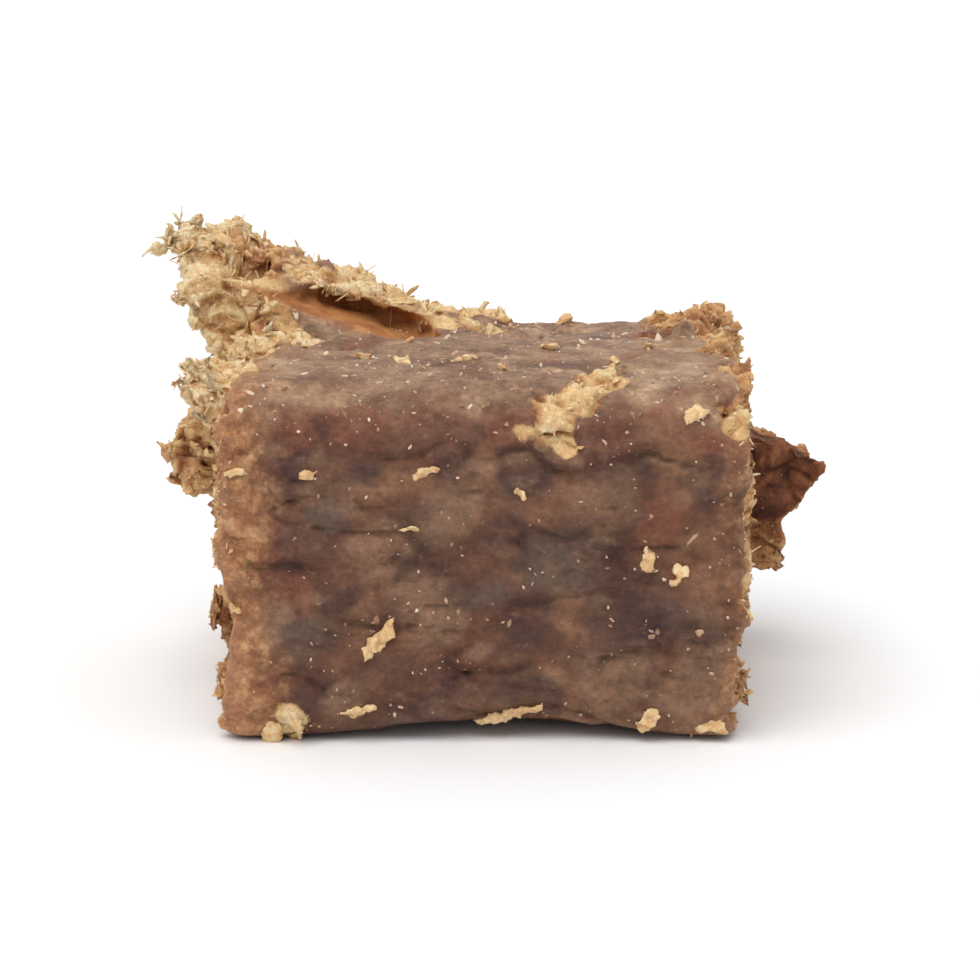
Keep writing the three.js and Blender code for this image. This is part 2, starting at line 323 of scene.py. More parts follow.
def lattice(cells, seed):
    """Repeatable numbers from 0 to 1, one for each whole-number cell."""
    x, y, z = cells.astype(np.int64).T
    a, b, c = CELL_FACTORS
    scrambled = (x * a ^ y * b ^ z * c ^ seed * SEED_FACTOR) & WORD
    for shift, factor in SCRAMBLES:
        scrambled = ((scrambled ^ (scrambled >> shift)) * factor) & WORD
    return ((scrambled ^ (scrambled >> 16)) & 0xFFFFFF) / 0xFFFFFF


def noise(points, size, seed):
    """Smooth noise from about -1 to 1, with features about size mm across (one size, or one per axis)."""
    scaled = points / size
    cell = np.floor(scaled)
    inside = scaled - cell
    fade = inside ** 3 * (inside * (inside * 6 - 15) + 10)
    total = np.zeros(len(points))
    for corner in itertools.product((0, 1), repeat=3):
        step = np.array(corner)
        weight = np.prod(np.where(step, fade, 1 - fade), axis=1)
        slope = np.stack([lattice(cell + step, 3 * seed + k) for k in range(3)], axis=1) * 2 - 1
        total += weight * dot(slope, inside - step)
    return total * 1.7


def swirl(points, size, seed):
    """Three noises at once, for moving points about."""
    return np.stack([noise(points, size, seed + k) for k in range(3)], axis=1)


def grains(points, size, seed):
    """Distances to the nearest and second nearest grain's middle, and a number from 0 to 1 for the grain."""
    scaled = points / size
    cell = np.floor(scaled)
    nearest = np.full(len(points), 9.0)
    second = np.full(len(points), 9.0)
    tone = np.zeros(len(points))
    for step in itertools.product((-1, 0, 1), repeat=3):
        home = cell + np.array(step)
        middle = home + np.stack([lattice(home, 5 * seed + k) for k in range(3)], axis=1)
        distance = np.linalg.norm(scaled - middle, axis=1)
        closer = distance < nearest
        second = np.where(closer, nearest, np.minimum(second, distance))
        tone = np.where(closer, lattice(home, 5 * seed + 4), tone)
        nearest = np.minimum(nearest, distance)
    return nearest, second, tone


def dot(some, others):
    return np.einsum("ij,ij->i", some, others)


def unit(vectors):
    return vectors / np.linalg.norm(vectors, axis=1, keepdims=True)


def ramp(values, low, high):
    """0 up to low, 1 from high, and smooth between; it falls if low is above high."""
    share = np.clip((values - low) / (high - low), 0, 1)
    return share * share * (3 - 2 * share)


def layered(values, width=0.35):
    """Steps one apart with steep rises between them, like the edges of thin layers."""
    step = np.floor(values)
    return step + ramp(values - step, 0.5 - width / 2, 0.5 + width / 2)


# Meshes

def make_mesh(name, vertices, faces):
    mesh = bpy.data.meshes.new(name)
    mesh.from_pydata(vertices, [], faces)
    mesh.update()
    return mesh


def new_object(name, data):
    made = bpy.data.objects.new(name, data)
    bpy.context.scene.collection.objects.link(made)
    return made


def rows_of(items, name, width, kind):
    """A property of a mesh's items, with a row of so many numbers for each."""
    flat = np.zeros(len(items) * width, kind)
    items.foreach_get(name, flat)
    return flat.reshape(-1, width)


def vertices_of(mesh):
    return rows_of(mesh.vertices, "co", 3, np.float32).astype(float)


def normals_of(mesh):
    return rows_of(mesh.vertex_normals, "vector", 3, np.float32).astype(float)


def edges_of(mesh):
    return rows_of(mesh.edges, "vertices", 2, np.int32)


def triangles_of(mesh):
    mesh.calc_loop_triangles()
    return rows_of(mesh.loop_triangles, "vertices", 3, np.int32)


def set_vertices(mesh, vertices):
    mesh.vertices.foreach_set("co", vertices.astype(np.float32).ravel())
    mesh.update()


def smoothed(vertices, edges, rounds, amount=0.5):
    """Points or values, moved towards the mean of their neighbours several times."""
    values = vertices.reshape(len(vertices), -1).copy()
    ends = np.concatenate([edges[:, 0], edges[:, 1]])
    others = np.concatenate([edges[:, 1], edges[:, 0]])
    count = np.bincount(ends, minlength=len(values))[:, None]
    for _ in range(rounds):
        sums = [np.bincount(ends, weights=column[others], minlength=len(values)) for column in values.T]
        values += amount * (np.stack(sums, axis=1) / count - values)
    return values.reshape(vertices.shape)


def modified(mesh, kind, **settings):
    """A new mesh, which is this one after a modifier."""
    holder = new_object("holder", mesh)
    modifier = holder.modifiers.new("modifier", kind)
    for name, value in settings.items():
        setattr(modifier, name, value)
    graph = bpy.context.evaluated_depsgraph_get()
    result = bpy.data.meshes.new_from_object(holder.evaluated_get(graph))
    bpy.data.objects.remove(holder)
    return result


def remeshed(mesh, voxel):
    """The outer skin of overlapping closed shapes, rebuilt from even squares."""
    return modified(mesh, "REMESH", mode="VOXEL", voxel_size=voxel)


def refined(mesh, chosen):
    """The mesh with its faces split into four where the vertices are chosen."""
    shape = bmesh.new()
    shape.from_mesh(mesh)
    edges = [edge for edge in shape.edges if chosen[edge.verts[0].index] and chosen[edge.verts[1].index]]
    bmesh.ops.subdivide_edges(shape, edges=edges, cuts=1, use_grid_fill=True)
    shape.to_mesh(mesh)
    shape.free()
    mesh.update()
    return mesh


def largest_part(mesh):
    """The mesh without its small loose parts."""
    edges = edges_of(mesh)
    part = np.arange(len(mesh.vertices))
    while True:
        lower = np.minimum(part[edges[:, 0]], part[edges[:, 1]])
        before = part.copy()
        np.minimum.at(part, edges[:, 0], lower)
        np.minimum.at(part, edges[:, 1], lower)
        part = part[part]
        if np.array_equal(part, before):
            break
    main = np.bincount(part).argmax()
    shape = bmesh.new()
    shape.from_mesh(mesh)
    loose = [vertex for vertex in shape.verts if part[vertex.index] != main]
    bmesh.ops.delete(shape, geom=loose, context="VERTS")
    shape.to_mesh(mesh)
    shape.free()
    mesh.update()
    return mesh


def ball(subdivisions):
    """The vertices and triangles of a unit icosphere."""
    shape = bmesh.new()
    bmesh.ops.create_icosphere(shape, subdivisions=subdivisions, radius=1.0)
    vertices = np.array([v.co for v in shape.verts])
    faces = np.array([[v.index for v in f.verts] for f in shape.faces])
    shape.free()
    return vertices, faces


def turns(count):
    """Random rotation matrices, evenly spread."""
    a, b, c, d = unit(rng.normal(size=(count, 4))).T
    rows = [
        [1 - 2 * (c * c + d * d), 2 * (b * c - a * d), 2 * (b * d + a * c)],
        [2 * (b * c + a * d), 1 - 2 * (b * b + d * d), 2 * (c * d - a * b)],
        [2 * (b * d - a * c), 2 * (c * d + a * b), 1 - 2 * (b * b + c * c)],
    ]
    return np.array(rows).transpose(2, 0, 1)


def slab(subdivisions):
    """A ball with straighter sides, as seen from above, and a thinner rim."""
    vertices, faces = ball(subdivisions)
    vertices[:, :2] = np.sign(vertices[:, :2]) * np.abs(vertices[:, :2]) ** 0.6
    return vertices, faces


def plate(front, back, shorter, outline):
    """A flat closed piece with this outline, anticlockwise as seen from the front."""
    count = len(outline)
    root = min(x for x, _ in outline)
    rings = [(x, front, z) for x, z in outline] + [(x - shorter * (x - root), back, z) for x, z in outline]
    x, z = np.mean(outline, axis=0)
    faces = []
    for k in range(count):
        following = (k + 1) % count
        faces += [(2 * count, k, following), (2 * count + 1, count + following, count + k)]
        faces += [(k, count + k, count + following), (k, count + following, following)]
    return np.array([*rings, (x, front, z), (x - shorter * (x - root), back, z)]), np.array(faces)


def copies(shape, middles, sizes, rotations, unevenness, bump_size=0.9):
    """A shape repeated at many places, each copy uneven in its own way."""
    vertices, faces = shape
    placed = np.repeat(vertices[None], len(middles), axis=0)
    offsets = np.arange(len(middles))[:, None, None] * COPY_STEP
    bumps = noise((placed + offsets).reshape(-1, 3), bump_size, 5).reshape(len(middles), -1, 1)
    placed = placed * (1 + unevenness * bumps) * sizes[:, None, :]
    placed = np.einsum("nij,nkj->nki", rotations, placed) + middles[:, None, :]
    steps = np.arange(len(middles))[:, None, None] * len(vertices)
    return placed.reshape(-1, 3), (faces[None] + steps).reshape(-1, faces.shape[1])


def joined(parts):
    """Several lots of vertices and triangles as one lot."""
    vertices, faces = zip(*parts)
    starts = np.cumsum([0, *map(len, vertices)])
    return np.concatenate(vertices), np.concatenate([some + start for some, start in zip(faces, starts)])


def add_attribute(mesh, name, values):
    attribute = mesh.attributes.new(name, "FLOAT", "POINT")
    attribute.data.foreach_set("value", values.astype(np.float32))


def attribute_near(mesh, name):
    """A function that gives the mesh's attribute at places, from the vertices nearest to them."""
    values = rows_of(mesh.attributes[name].data, "value", 1, np.float32)[:, 0]
    tree = KDTree(len(values))
    for index, point in enumerate(vertices_of(mesh)):
        tree.insert(point, index)
    tree.balance()
    return lambda places: np.array([values[tree.find(place)[1]] for place in places])


# Where the cube is torn

def spot_shares(points, spots):
    """For each spot in turn: 1 inside it and 0 outside, with a ragged border."""
    stirred = points + 0.35 * swirl(points, 0.8, 90)
    for x, y, z, radius, *_ in spots:
        distance = np.linalg.norm(stirred - (x, y, z), axis=1)
        yield ramp(distance, radius * 1.25, radius * 0.65)


def spot_share(points, spots):
    """1 inside any of the spots, falling to 0 outside them."""
    return np.maximum.reduce(list(spot_shares(points, spots)))


def end_share(points):
    """1 on the two torn ends, 0 on the cut faces, base and top."""
    x, y, z = points.T
    out, deep = np.abs(x), np.abs(y)
    proud = ramp(out, HALF_WIDTH - 0.55, HALF_WIDTH - 0.2) * ramp(deep, HALF_DEPTH - 0.05, HALF_DEPTH - 0.4)
    sunk = ramp(out, HALF_WIDTH - 2.3, HALF_WIDTH - 1.7) * ramp(deep, HALF_DEPTH - 0.2, HALF_DEPTH - 0.5)
    return np.maximum(proud, sunk * ramp(z, 9.75, 9.35)) * ramp(z, 0.05, 0.4)


def tip_share(points):
    """1 on the flap's torn tip, which leans out over the left end."""
    x, y, z = points.T
    return ramp(-x, 5.2, 6.6) * ramp(z, 9.9, 10.7) * ramp(y, 0.4, 1.8)


def from_slit(points):
    """Places measured from the slit's middle: along it, inwards, and up from its plane."""
    away = points - SLIT_MIDDLE
    cos, sin = math.cos(SLIT_TILT), math.sin(SLIT_TILT)
    along = away[:, 0] * cos - away[:, 2] * sin
    up = away[:, 0] * sin + away[:, 2] * cos
    return np.stack([along, away[:, 1], up], axis=1)


def slit_share(points):
    """1 inside the slit under the flap, falling to 0 just outside its mouth."""
    inside = from_slit(points) / SLIT_HALF
    return ramp(np.linalg.norm(inside, axis=1), 1.5, 1.1)


def slit_wall_share(points, normals):
    """1 on the slit's own walls, which face its middle, and 0 outside it."""
    outwards = unit(from_slit(points) / SLIT_HALF ** 2)
    facing = from_slit(points + normals) - from_slit(points)
    return slit_share(points) * ramp(-dot(facing, outwards), -0.1, 0.5)


def dug_slit(points, walls):
    """The points with the slit dug further in, and its roof and floor moved apart."""
    along, inwards, up = from_slit(points).T
    further, raised, lowered = SLIT_DUG
    middle = ramp(np.abs(along), 3.1, 1.8)
    moved = points.copy()
    moved[:, 1] += further * walls * ramp(inwards, 0.5, 1.5) * middle * ramp(along, -2.4, -0.4)
    apart = np.where(up > 0, raised, -lowered) * ramp(np.abs(up), 0.0, 0.2)
    moved[:, 2] += apart * slit_share(points) * middle * ramp(inwards, -0.4, 0.8)
    return moved


def lip_share(points):
    """1 on the flap's lip over the slit, on its thin right end and along the crest behind."""
    x, y, z = points.T
    _, _, up = from_slit(points).T
    lip = ramp(up, 0.95, 0.65)
    thin_end = ramp(x, -4.2, -3.2)
    crest = 0.8 * ramp(y, 4.8, 5.3)
    within = ramp(x, -6.2, -5.5) * ramp(x, 1.9, 0.9) * ramp(z, 9.45, 9.65)
    behind_slit = ramp(y - 0.35 * np.clip(x + 3, 0, 4), 3.1, 3.7)
    return np.maximum.reduce([lip, thin_end, crest]) * ramp(up, 0.12, 0.30) * within * behind_slit


def torn_share(points):
    """How far each point is on a broken surface, from 0, cut or pressed, to 1, torn."""
    spots = spot_share(points, TORN_SPOTS)
    share = np.maximum.reduce([end_share(points), tip_share(points), spots, 0.8 * lip_share(points)])
    return np.clip(share + 0.35 * noise(points, 0.9, 31) * (share > 0.02), 0, 1) * (points[:, 2] > 0.02)


def clean_share(points, torn):
    """1 where the skin is neither torn nor in the slit."""
    return (1 - torn) * (1 - slit_share(points))


def rim_share(points):
    """1 along the upright edges of the cut faces, where small pale shreds stand out."""
    x, y, z = points.T
    beside_end = ramp(np.abs(x), HALF_WIDTH - 0.5, HALF_WIDTH - 0.15)
    beside_cut = ramp(np.abs(y), HALF_DEPTH - 0.7, HALF_DEPTH - 0.25)
    return beside_end * beside_cut * ramp(z, 0.3, 0.8)


def lift_of(points):
    """How much paler the broken meat is at each point than elsewhere, or darker if negative."""
    lift = np.maximum(0.16 * rim_share(points), 0.34 * lip_share(points))
    for share, spot in zip(spot_shares(points, TORN_SPOTS), TORN_SPOTS):
        lift += (spot[-1] - lift) * share
    return lift


def calm_share(points):
    """1 where broken meat is moist and darker, at the right flake partly by painted shadow, or lies along the
    lip, and so is less crumbly.
    """
    return np.maximum(ramp(lift_of(points), 0.0, -0.12), spot_share(points, LIP_SPOTS))


# The body

def base_skin():
    """The CAD solid's skin in millimetres, evenly meshed, smoothed and set back where it is torn."""
    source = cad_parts[NODE].data.copy()
    set_vertices(source, vertices_of(source) / MM)
    skin = remeshed(source, COARSE_VOXEL)
    points = vertices_of(skin)
    edges = edges_of(skin)
    torn = torn_share(points)[:, None]
    kept = np.maximum(torn * (1 - calm_share(points)[:, None]), slit_share(points)[:, None])
    slightly, fully = (smoothed(points, edges, rounds) for rounds in (TORN_ROUNDS, SMOOTH_ROUNDS))
    set_vertices(skin, kept * slightly + (1 - kept) * fully)
    plain = np.minimum(1 - 0.8 * lip_share(points), 1 - 0.6 * spot_share(points, PROUD_SPOTS))[:, None]
    setback = (TORN_SETBACK * torn + END_SETBACK * end_share(points)[:, None]) * plain
    setback *= ramp(points[:, 2:], 0.3, 0.8)
    set_vertices(skin, vertices_of(skin) - normals_of(skin) * setback)
    return skin


def scatter(skin, weight, count):
    """Random places on the skin, more where weight is high, and the normals there."""
    corners = vertices_of(skin)
    triangles = triangles_of(skin)
    a, b, c = (corners[triangles[:, k]] for k in range(3))
    cross = np.cross(b - a, c - a)
    area = np.linalg.norm(cross, axis=1)
    chance = area * weight[triangles].mean(axis=1)
    chosen = rng.choice(len(triangles), size=count, p=chance / chance.sum())
    u, v = np.sort(rng.random((2, count)), axis=0)
    places = a[chosen] * u[:, None] + b[chosen] * (v - u)[:, None] + c[chosen] * (1 - v)[:, None]
    return places, cross[chosen] / area[chosen, None]


def crumbs(skin, weight, count, radius, sunk, detail=2, thick=1.0):
    """Uneven, rather long crumbs pressed into the skin, and their middles."""
    places, normals = scatter(skin, weight, count)
    radii = radius * np.minimum(rng.lognormal(0, 0.35, count), 1.7)
    sizes = radii[:, None] * rng.uniform((0.9, 0.55, 0.4 * thick), (1.7, 0.95, 0.75 * thick), (count, 3))
    middles = places - normals * (radii * sunk)[:, None]
    keep = middles[:, 2] > radii * 1.2
    return copies(ball(detail), middles[keep], sizes[keep], turns(count)[keep], 0.6), middles[keep]


def chunky_skin(skin, torn):
    """The skin with its largest crumbs, lumps and plates joined on, and finer squares where it is torn."""
    points = vertices_of(skin)
    above_base = (points[:, 2] > 0.6).astype(float)
    plain = 1 - 0.85 * spot_share(points, PROUD_SPOTS)
    large, _ = crumbs(skin, torn * plain, *LARGE_CRUMBS)
    medium, _ = crumbs(skin, torn * (1 - calm_share(points)), *MEDIUM_CRUMBS)
    few, _ = crumbs(skin, above_base, *SCATTERED_CRUMBS)
    *middles, radii = np.array(LUMPS).T
    sizes = radii[:, None] * np.array([1.1, 0.9, 1.0])
    lumps = copies(ball(3), np.stack(middles, axis=1), sizes, turns(len(radii)), 0.6, bump_size=0.7)
    shapes = [(points, triangles_of(skin)), large, medium, few, lumps, *(plate(*one) for one in PLATES)]
    whole = largest_part(remeshed(make_mesh("skin", *joined(shapes)), SKIN_VOXEL))
    return refined(whole, torn_share(vertices_of(whole)) > 0.25)


def front_share(y):
    """1 by the front face, falling to 0 a little way behind it."""
    return ramp(y, -HALF_DEPTH + 1.2, -HALF_DEPTH + 0.4)


def crease_share(points):
    """1 in the creases of the front face, falling to 0 beside them and at their ends."""
    x, y, z = (points + 0.30 * swirl(points, 1.1, 95)).T
    share = np.zeros(len(points))
    for x0, z0, x1, z1 in FRONT_CREASES:
        run, rise = x1 - x0, z1 - z0
        length = math.hypot(run, rise)
        along = ((x - x0) * run + (z - z0) * rise) / length ** 2
        away = np.abs((x - x0) * rise - (z - z0) * run) / length
        within = ramp(along, -0.05, 0.15) * ramp(along, 1.05, 0.85)
        share = np.maximum(share, ramp(away, 0.30, 0.02) * within)
    return share * front_share(y)


def cut_relief(points):
    """Low relief of the cut and pressed faces: swells, creases along the grain, and dents."""
    swells = SWELL_DEPTH * noise(points, (2.6, 1.8, 1.4), 1)
    creases = np.abs(noise(points, (2.6, 1.8, 0.9), 2))
    deep_places = ramp(noise(points, 1.9, 5), -0.1, 0.3)
    coarse, fine = GRAIN_DEPTHS
    grain = coarse * noise(points, (0.9, 0.6, 0.45), 3) + fine * noise(points, 0.33, 4)
    broken = np.maximum(ramp(noise(points, 2.0, 6), 0.0, 0.4), ramp(np.abs(points[:, 0]), 6.2, 7.0))
    creased = CREASE_DEPTH * ramp(creases, 0.22, 0.0) * deep_places
    placed = FRONT_CREASE_DEPTH * crease_share(points)
    return swells + grain - (creased + placed) + DENT_DEPTH * broken * noise(points, 0.5, 7)


def torn_relief(points):
    """Deep relief of the torn faces: crags, thin layers that end in steps, crevices and roughness."""
    stirred = points + 0.3 * swirl(points, 0.9, 11)
    near, next_near, _ = grains(stirred, 1.2, 1)
    crevice = ramp(next_near - near, 0.24, 0.0)
    small_near, small_next, _ = grains(stirred, 0.5, 2)
    small_crevice = ramp(small_next - small_near, 0.3, 0.0)
    crags = CRAG_DEPTH * (0.4 - 1.6 * np.abs(noise(stirred, 1.9, 14)))
    layers = LAYER_DEPTH * layered(2.4 * noise(stirred, (1.5, 1.0, 0.7), 15))
    coarse, fine = ROUGH_DEPTHS
    rough = coarse * noise(points, (0.42, 0.25, 0.25), 16) + fine * noise(points, 0.18, 17)
    return crags + layers + rough - CREVICE_DEPTHS[0] * crevice - CREVICE_DEPTHS[1] * small_crevice


def patch_share(points, number, name):
    """Where one kind of meat shows: by noise, and at its own places on the front face."""
    spots = [(x, -HALF_DEPTH, z, radius) for x, z, radius in FRONT_PATCHES[name]]
    by_noise = ramp(noise(points, (2.4, 1.9, 1.6), 60 + number), 0.15, 0.6)
    return np.maximum(spot_share(points, spots), by_noise * (1 - 0.6 * front_share(points[:, 1])))


def held_in(points):
    """The points with the torn ends pressed in, apart from the pieces that stand out of them."""
    limit = HALF_WIDTH - 0.05
    beyond = np.maximum(np.abs(points[:, 0]) - limit, 0)
    moved = points.copy()
    moved[:, 0] -= np.sign(points[:, 0]) * beyond * 0.75 * (1 - spot_share(points, PROUD_SPOTS))
    return moved


def height_share(points, normals, edges, rounds, full):
    """How far each point stands out of the smoothed skin, as a share of full."""
    return dot(points - smoothed(points, edges, rounds), normals) / full


def skin_attributes(points, normals, edges, torn, orange):
    """What the material reads at each point of the skin, by name."""
    small, wide = (height_share(points, normals, edges, *scale) for scale in (SMALL_HEIGHT, WIDE_HEIGHT))
    _, _, tone = grains(points + 0.25 * swirl(points, 0.5, 21), (0.9, 0.7, 0.6), 6)
    values = {
        "torn": torn,
        "slit": smoothed(orange, edges, 2),
        "height": np.clip(0.6 * small + 0.5 * wide, -1, 1),
        "lift": smoothed(lift_of(points), edges, 3),
        "tone": smoothed(tone, edges, 2),
    }
    for number, name in enumerate(FRONT_PATCHES):
        values[name] = patch_share(points, number, name)
    return values


def body_mesh(base):
    """The whole skin in metres, with its relief and with what its material reads."""
    skin = chunky_skin(base, torn_share(vertices_of(base)))
    edges = edges_of(skin)
    points = smoothed(vertices_of(skin), edges, 1)
    set_vertices(skin, points)
    torn = smoothed(torn_share(points), edges, 3)
    slit = slit_wall_share(points, normals_of(skin))
    orange = slit * ramp(from_slit(points)[:, 1] + 0.7 * noise(points, (1.2, 0.7, 0.7), 19), -1.1, -0.1)
    crumbly = torn * (1 - 0.60 * calm_share(points))
    outside = crumbly * torn_relief(points) + (1 - torn) * cut_relief(points) + LIP_RAISED * lip_share(points)
    inside = SLIT_DEPTH * slit * noise(points, (1.6, 0.45, 0.22), 18)
    relief = (1 - 0.7 * slit_share(points)) * outside + inside
    off_floor = ramp(points[:, 2], 0.0, 0.5)
    moved = points + normals_of(skin) * (relief * off_floor)[:, None]
    moved = held_in(moved + (dug_slit(points, slit) - points))
    moved[:, 2] = np.maximum(moved[:, 2], 0.0)
    set_vertices(skin, moved)
    for name, values in skin_attributes(moved, normals_of(skin), edges, torn, orange).items():
        add_attribute(skin, name, values)
    lighter = modified(skin, "DECIMATE", ratio=KEPT_SHARE)
    set_vertices(lighter, vertices_of(lighter) * MM)
    return lighter


# Loose pieces on the skin

def per_vertex(tones, shape):
    """The tone of each bit, repeated for all of its vertices."""
    return np.repeat(tones, len(shape[0]) // len(tones))


def meat_tones(middles, shape, height_near):
    """How pale each bit of torn meat is, from 0 to 1. Bits in crevices are darker: painted shade over the
    somewhat darker moist meat there.
    """
    drift = 0.42 * (0.5 + 0.45 * noise(middles, 1.4, 41))
    # Bits low in crevices get painted shade through height_near.
    tones = drift + 0.26 * rng.random(len(middles)) + 0.02 + 0.22 * height_near(middles) + lift_of(middles)
    return per_vertex(np.clip(tones, 0, 1), shape)


def bits_mesh(name, layers):
    """One mesh in metres of several layers of bits, each with its tones."""
    shapes, tones = zip(*layers)
    vertices, faces = joined(shapes)
    mesh = make_mesh(name, vertices * MM, faces)
    add_attribute(mesh, "tone", np.concatenate(tones))
    return mesh


def crumb_mesh(skin, torn, height_near):
    """Separate crumbs, stuck to the torn skin, fewer where it is calm."""
    weight = torn * (1 - 0.8 * calm_share(vertices_of(skin)))
    layers = []
    for numbers in LOOSE_CRUMBS:
        shape, middles = crumbs(skin, weight, *numbers)
        layers.append((shape, meat_tones(middles, shape, height_near)))
    return bits_mesh("crumbs", layers)


def strands(roots, ways, lengths, widths, bends, segments=4, sides=4):
    """Flat, bent, uneven shreds with blunt ends: their vertices and triangles."""
    count, reach = len(roots), lengths[:, None, None]
    ways = unit(ways)
    side = unit(np.cross(ways, rng.normal(size=(count, 3))))
    other = np.cross(ways, side)
    along = np.linspace(0, 1, segments + 1)
    step = along[:, None]
    angle = (np.arange(sides) * 2 * math.pi / sides)[:, None]
    spine = roots[:, None] + ways[:, None] * (step * reach) + bends[:, None] * (step ** 2 * reach)
    width = widths[:, None] * (1 - 0.45 * along ** 4) * rng.uniform(0.55, 1.3, (count, segments + 1))
    ring = side[:, None, None] * np.cos(angle) + 0.35 * other[:, None, None] * np.sin(angle)
    vertices = (spine[:, :, None] + ring * width[:, :, None, None]).reshape(-1, 3)
    faces = []
    for row, k in itertools.product(range(segments), range(sides)):
        a = row * sides + k
        b = row * sides + (k + 1) % sides
        faces += [(a, b, b + sides), (a, b + sides, a + sides)]
    last = segments * sides
    for k in range(1, sides - 1):
        faces += [(0, k + 1, k), (last, last + k, last + k + 1)]
    steps = np.arange(count)[:, None, None] * (segments + 1) * sides
    return vertices, (np.array(faces)[None] + steps).reshape(-1, 3)


def shred_layer(skin, weight, count, length, width, lift):
    """Shreds rooted in the skin. Lift is how far they stand up from it: 0 lies along it."""
    places, normals = scatter(skin, weight, count)
    loose = rng.normal(size=(count, 3))
    along = unit(loose - normals * dot(loose, normals)[:, None])
    ways = along + normals * lift * rng.uniform(0.3, 1.5, (count, 1))
    lengths = length * np.minimum(rng.lognormal(0, 0.35, count), 1.5)
    bends = rng.normal(scale=0.35, size=(count, 3)) - normals * 0.2 * lift
    widths = width * rng.uniform(0.75, 1.35, count)
    keep = places[:, 2] > 0.35 + lengths * 0.4
    shape = strands((places - normals * 0.05)[keep], ways[keep], lengths[keep], widths[keep], bends[keep])
    return shape, places[keep]


def shred_mesh(skin, torn, height_near):
    """Shreds and fibres of torn meat, a little paler than the crumbs."""
    points = vertices_of(skin)
    tip, lip = spot_share(points, TORN_SPOTS[:1]), lip_share(points)
    weights = {
        "rough": torn * (1 - calm_share(points)),
        "pale": torn * ramp(lift_of(points), 0.1, 0.3),
        "tip": tip,
        "crest": tip * ramp(points[:, 2], 11.3, 12.3),
        "lip": lip,
        "ridge": lip * ramp(points[:, 1], 4.4, 5.0),
        "rim": rim_share(points),
        "clean top": clean_share(points, torn) * ramp(points[:, 2], 8.6, 9.4),
    }
    layers = [shred_layer(skin, weights[where], *numbers) for where, *numbers in SHRED_LAYERS]
    return bits_mesh("shreds", [
        (shape, np.clip(meat_tones(places, shape, height_near) + 0.1, 0, 1)) for shape, places in layers
    ])


def speck_mesh(skin, torn):
    """Tiny pale bits on the cut and pressed faces, most of them in clusters. They also stand in for glints on
    the moist faces, so they are partly painted highlights.
    """
    points = vertices_of(skin)
    clean = clean_share(points, torn) * ramp(points[:, 2], 0.2, 0.5)
    on_top = ramp(points[:, 2], 8.8, 9.8)
    clustered = clean * (0.08 + ramp(noise(points, (1.6, 1.2, 0.9), 51), 0.0, 0.6) + 0.5 * on_top)
    layers = [crumbs(skin, clustered, *SMALL_SPECKS), crumbs(skin, clean * (0.4 + on_top), *LARGE_SPECKS)]
    return bits_mesh("specks", [
        (shape, per_vertex(rng.beta(1.5, 2.0, len(middles)), shape)) for shape, middles in layers
    ])


def flake_spots(skin, torn):
    """Where flakes lie: their place, normal, length, width, turn and tone."""
    points = vertices_of(skin)
    tree = BVHTree.FromPolygons(points.tolist(), triangles_of(skin).tolist())
    not_front = ramp(points[:, 1], -HALF_DEPTH + 0.5, -HALF_DEPTH + 1.5)
    clean = clean_share(points, torn) * ramp(points[:, 2], 0.6, 1.0)
    places, normals = scatter(skin, clean * not_front, OTHER_FLAKES)
    ranges = ((0.3, 0.7), (0.12, 0.30), (0, 6.3), (0.4, 1.0))
    spots = [(*spot, *(rng.uniform(*span) for span in ranges)) for spot in zip(places, normals)]
    for x, z, length, width, turn, tone in FRONT_FLAKES:
        place, normal, _, _ = tree.ray_cast(Vector((x, -20, z)), Vector((0, 1, 0)))
        spots.append((np.array(place), np.array(normal), length, width, turn, tone))
    return spots


def flake_mesh(skin, torn):
    """Chips of dried meat, each a few angular plates joined into one ragged flake."""
    middles, sizes, rotations, tones = [], [], [], []
    for place, normal, length, width, turn, tone in flake_spots(skin, torn):
        flat = Vector(normal).to_track_quat("Z", "Y").to_matrix() @ Matrix.Rotation(turn, 3, "Z")
        for k in range(FLAKE_PLATES):
            scale = 0.85 if k == 0 else rng.uniform(0.35, 0.7)
            away = rng.uniform(-0.45, 0.45, 2) * (k > 0)
            offset = flat @ Vector((away[0] * length, away[1] * width, 0.02 + 0.03 * k))
            middles.append(place + np.array(offset))
            sizes.append((0.5 * scale * length, 0.6 * scale * width, PLATE_HALF))
            rotations.append(np.array(flat @ Matrix.Rotation(rng.uniform(-0.35, 0.35) * (k > 0), 3, "Z")))
            tones.append(tone + rng.uniform(-0.15, 0.15))
    middles = np.array(middles)
    shape = copies(slab(2), middles, np.array(sizes), np.array(rotations), 0.9, 0.35)
    mesh = remeshed(make_mesh("flakes", *shape), FLAKE_VOXEL)
    points = vertices_of(mesh)
    moved = points + 0.08 * swirl(points, 0.25, 71) + 0.05 * swirl(points, 0.13, 75)
    moved[:, 2] = np.maximum(moved[:, 2], 0.0)
    nearest = np.concatenate([
        np.argmin(np.linalg.norm(some[:, None] - middles[None], axis=2), axis=1)
        for some in np.array_split(points, 1 + len(points) // 2000)
    ])
    set_vertices(mesh, moved * MM)
    add_attribute(mesh, "tone", np.array(tones)[nearest])
    return mesh


# Materials

def set_inputs(made, inputs):
    """The node, with its inputs linked where they are sockets and set where they are values."""
    for name, value in inputs.items():
        if isinstance(value, bpy.types.NodeSocket):
            made.id_data.links.new(value, made.inputs[name])
        else:
            made.inputs[name].default_value = value
    return made


def node(near, kind, inputs=None, **settings):
    """A new shader node in the same node tree as another node or socket."""
    made = near.id_data.nodes.new("ShaderNode" + kind)
    for name, value in settings.items():
        setattr(made, name, value)
    return set_inputs(made, inputs or {})


def mixed(share, a, b):
    """Two colours mixed. The second is a socket, or three numbers."""
    second = b if isinstance(b, bpy.types.NodeSocket) else (*b, 1)
    return node(share, "Mix", {0: share, 6: a, 7: second}, data_type="RGBA").outputs[2]


